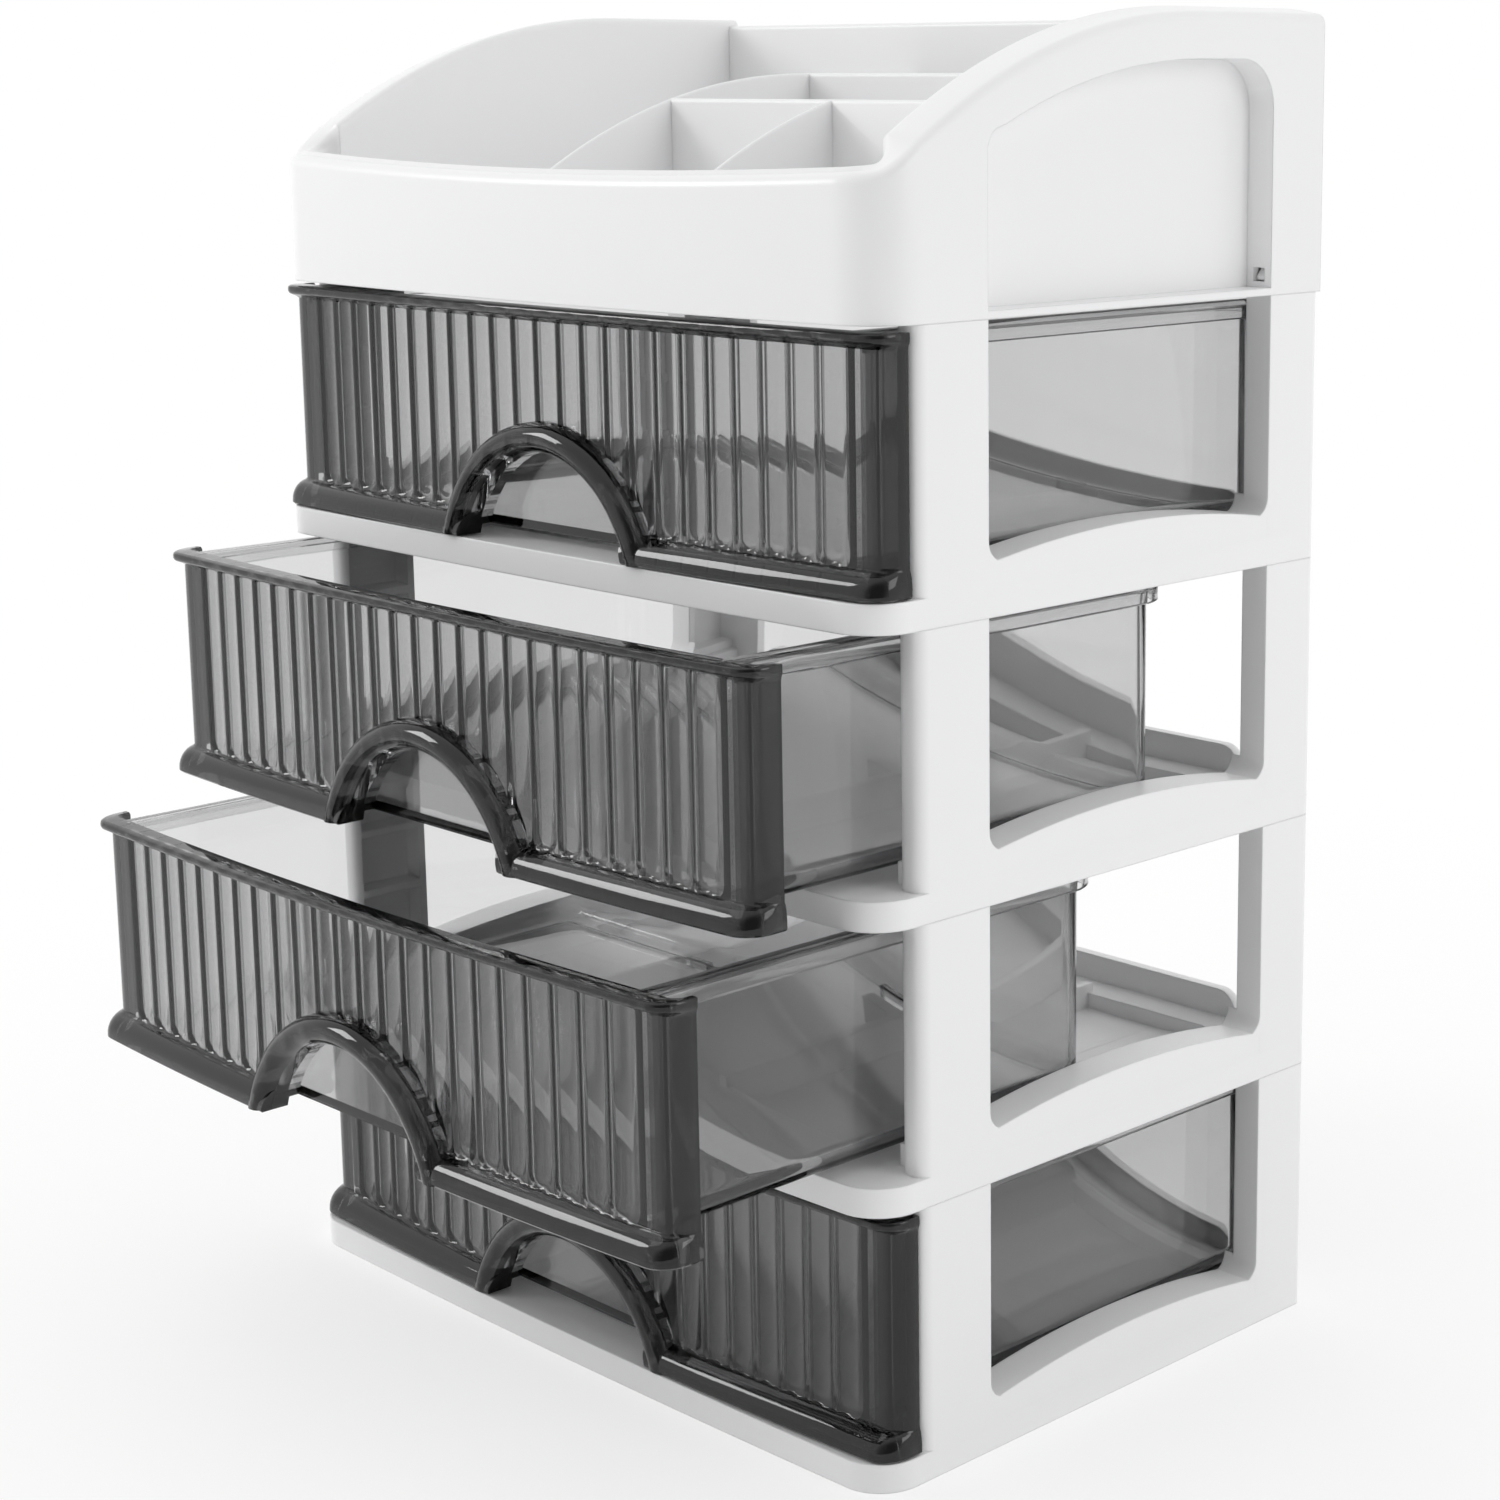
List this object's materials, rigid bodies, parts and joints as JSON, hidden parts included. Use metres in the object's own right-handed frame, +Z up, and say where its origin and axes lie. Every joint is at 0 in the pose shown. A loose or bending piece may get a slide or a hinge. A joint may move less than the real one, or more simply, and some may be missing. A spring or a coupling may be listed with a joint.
{
  "type": "desktop mini drawers",
  "caption": "Stacking desktop organiser with slide-out see-through drawers with finger arches, under an open tray with compartments.",
  "frame": {"origin": "on the resting plane under the lowest case, half way across it and half way from its front lip to its rear face", "axes": "+Z up, +X to the right seen from the front, -Y out of the drawers' fronts"},
  "size_m": [0.24, 0.231, 0.3516],
  "materials": {
    "case_white": "opaque white moulded plastic, satin gloss",
    "drawer_smoke": "transparent smoke-grey moulded plastic, polished"
  },
  "bodies": {
    "case": {"tier_1": "case_white", "tier_2": "case_white", "tier_3": "case_white", "tier_4": "case_white", "top_tray": "case_white"},
    "drawer_1": {"drawer_1": "drawer_smoke"},
    "drawer_2": {"drawer_2": "drawer_smoke"},
    "drawer_3": {"drawer_3": "drawer_smoke"},
    "drawer_4": {"drawer_4": "drawer_smoke"}
  },
  "joints": [
    {"name": "drawer_1_slide", "type": "slide", "parent": "case", "child": "drawer_1", "axis": [0, -1, 0], "range_m": [0, 0.07]},
    {"name": "drawer_2_slide", "type": "slide", "parent": "case", "child": "drawer_2", "axis": [0, -1, 0], "range_m": [-0.0668, 0.0032]},
    {"name": "drawer_3_slide", "type": "slide", "parent": "case", "child": "drawer_3", "axis": [0, -1, 0], "range_m": [-0.0407, 0.0293]},
    {"name": "drawer_4_slide", "type": "slide", "parent": "case", "child": "drawer_4", "axis": [0, -1, 0], "range_m": [-0.001, 0.069]}
  ]
}
